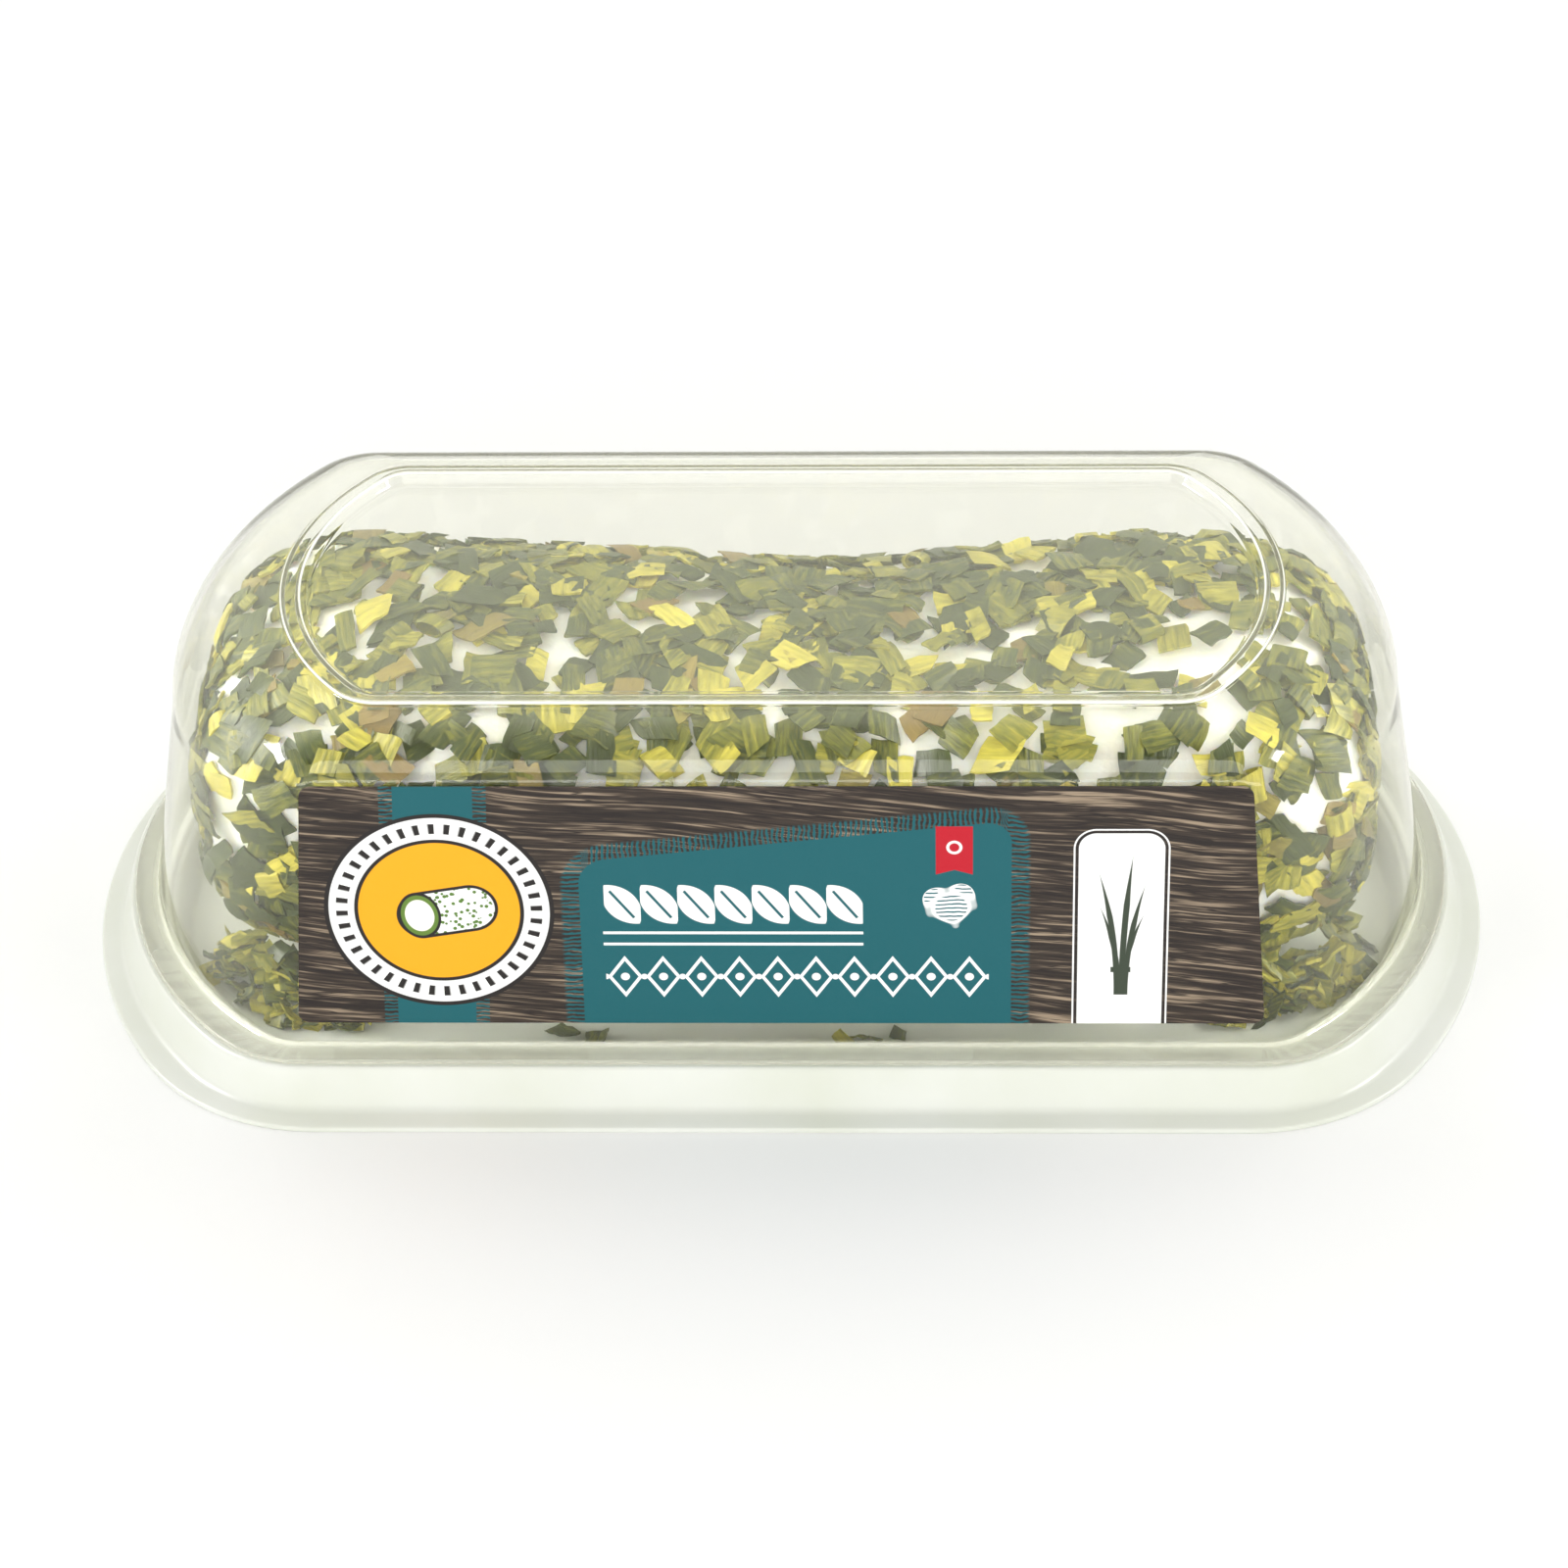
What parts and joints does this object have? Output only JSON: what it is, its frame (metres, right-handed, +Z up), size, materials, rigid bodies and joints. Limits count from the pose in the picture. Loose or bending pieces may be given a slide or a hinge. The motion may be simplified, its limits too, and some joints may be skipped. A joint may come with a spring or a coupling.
{
  "type": "packed goat cheese log",
  "caption": "Fresh goat cheese log rolled in chopped chives, in a closed retail pack: low milky tray, clear hood with a sunk top panel, plain printed label on the front wall.",
  "frame": {"origin": "centre of the pack's footprint, on the plane it stands on", "axes": "+X along the log, +Y away from the label, +Z up"},
  "size_m": [0.124, 0.063, 0.036],
  "materials": {
    "milky_tray": "milky translucent moulded film, soft sheen",
    "clear_hood": "clear thin moulded plastic film, glossy",
    "chive_cheese": "cream-white fresh cheese coated with chopped green chives",
    "printed_label": "satin printed label with plain fields of colour"
  },
  "bodies": {
    "root": {"tray": "milky_tray", "hood": "clear_hood", "cheese_log": "chive_cheese", "label": "printed_label"}
  },
  "joints": []
}
